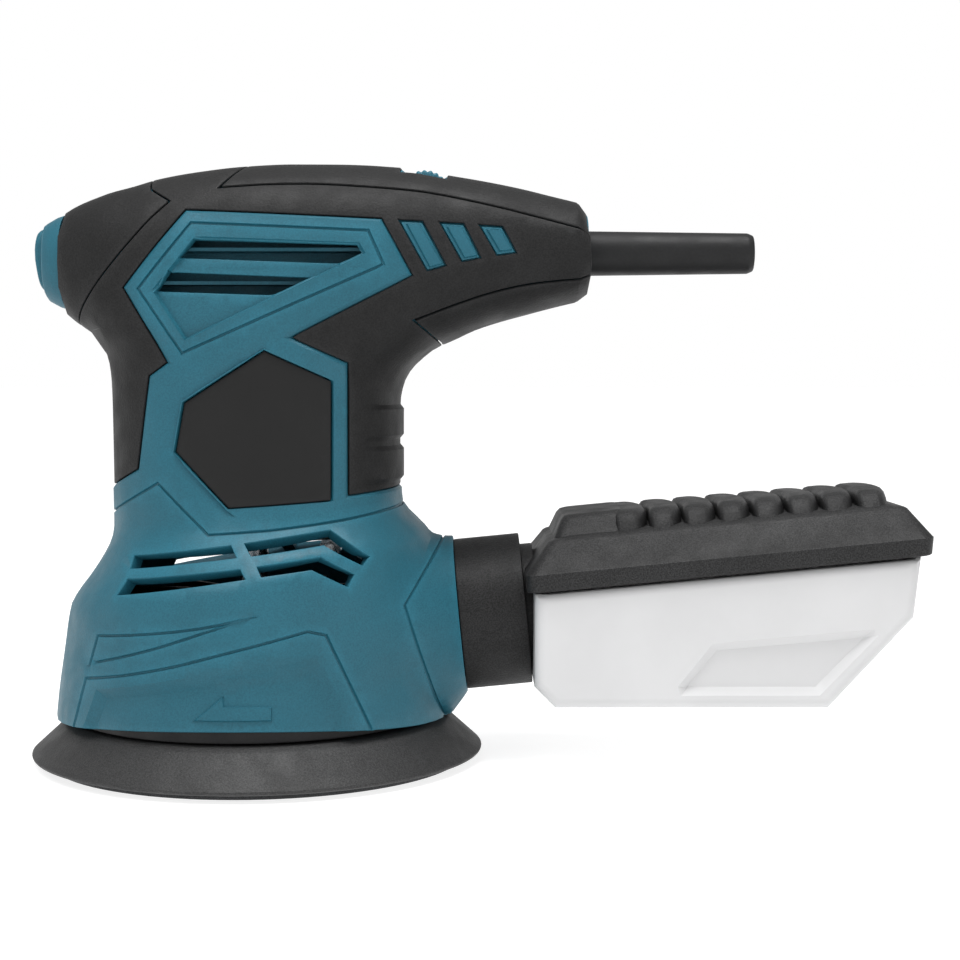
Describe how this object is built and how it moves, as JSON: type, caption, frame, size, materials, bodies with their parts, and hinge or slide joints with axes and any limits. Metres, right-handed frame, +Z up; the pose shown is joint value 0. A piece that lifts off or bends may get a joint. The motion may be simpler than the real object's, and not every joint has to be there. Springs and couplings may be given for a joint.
{
  "type": "random orbit sander",
  "caption": "Palm-grip random orbit sander with round pad, soft-grip clamshell body, front rocker switch, speed dial and removable dust box.",
  "frame": {"origin": "motor axis at the sanding face, the underside of the pad", "axes": "+X to the rear towards the dust box and lead, +Z up along the motor axis, +Y to the tool's right"},
  "size_m": [0.2449, 0.125, 0.1643],
  "materials": {
    "teal_shell": "fine-grained moulded plastic",
    "soft_grip": "matt soft-touch overmould",
    "label_panel": "satin panel",
    "teal_accent": "satin",
    "dark_plastic": "textured",
    "clear_bin": "frosted translucent",
    "pad_foam": "moulded polyurethane",
    "hook_felt": "hook fabric",
    "steel": "ground",
    "lamination": "stacked laminations",
    "alloy": "die cast",
    "copper": "enamelled copper",
    "brass": "pressed",
    "carbon": "graphite",
    "seal_rubber": "moulded",
    "board": "circuit board",
    "film_cap": "resin case",
    "rocker_plastic": "moulded",
    "filter_paper": "pleated paper"
  },
  "bodies": {
    "housing": {"housing_left": "teal_shell", "housing_right": "teal_shell", "grip_left": "soft_grip", "grip_right": "soft_grip", "label_left": "label_panel", "label_right": "label_panel", "accents_left": "teal_accent", "accents_right": "teal_accent", "nose_collar": "soft_grip", "top_pad": "soft_grip", "finger_grip": "soft_grip", "switch_bezel": "teal_accent", "switch_body": "dark_plastic", "dial_bezel": "teal_accent", "speed_control": "board", "suppressor": "film_cap", "cord_guard": "seal_rubber", "cord_clamp": "dark_plastic", "clamp_screws": "steel", "housing_screws": "steel", "stator_core": "lamination", "field_coils": "copper", "brush_holders": "brass", "carbon_brushes": "carbon", "brush_springs": "steel", "upper_bearing": "steel", "bearing_boot": "seal_rubber", "bearing_plate": "alloy", "lower_bearing": "steel", "dust_shroud": "dark_plastic", "pad_brake": "seal_rubber"},
    "rotor": {"motor_shaft": "steel", "armature_core": "lamination", "armature_windings": "copper", "commutator": "copper", "fan": "dark_plastic", "counterweight": "lamination", "bearing_screw": "steel"},
    "pad": {"pad_bearing": "steel", "pad_hub": "alloy", "pad_plate": "dark_plastic", "pad_foam": "pad_foam", "hook_layer": "hook_felt", "pad_screws": "steel"},
    "switch": {"switch_boot": "teal_accent", "switch_rocker": "rocker_plastic"},
    "dial": {"speed_dial": "teal_accent"},
    "dust_box": {"box_body": "clear_bin", "box_neck": "dark_plastic"},
    "lid": {"box_lid": "dark_plastic", "filter_frame": "dark_plastic", "filter_element": "filter_paper"}
  },
  "joints": [
    {"name": "rotor_spin", "type": "hinge", "parent": "housing", "child": "rotor", "pos_m": [0, 0, 0.06], "axis": [0, 0, 1], "continuous": true},
    {"name": "pad_spin", "type": "hinge", "parent": "rotor", "child": "pad", "pos_m": [0.00125, 0, 0.0105], "axis": [0, 0, 1], "continuous": true},
    {"name": "switch_rock", "type": "hinge", "parent": "housing", "child": "switch", "pos_m": [-0.052, 0, 0.138], "axis": [0, 1, 0], "range_deg": [0, 8]},
    {"name": "dial_turn", "type": "hinge", "parent": "housing", "child": "dial", "pos_m": [0.0482, 0, 0.1558], "axis": [0, 1, 0], "range_deg": [0, 270]},
    {"name": "box_slide", "type": "slide", "parent": "housing", "child": "dust_box", "axis": [0.9954, 0, 0.0958], "range_m": [0, 0.04]},
    {"name": "lid_lift", "type": "slide", "parent": "dust_box", "child": "lid", "axis": [-0.0958, 0, 0.9954], "range_m": [0, 0.05]}
  ]
}
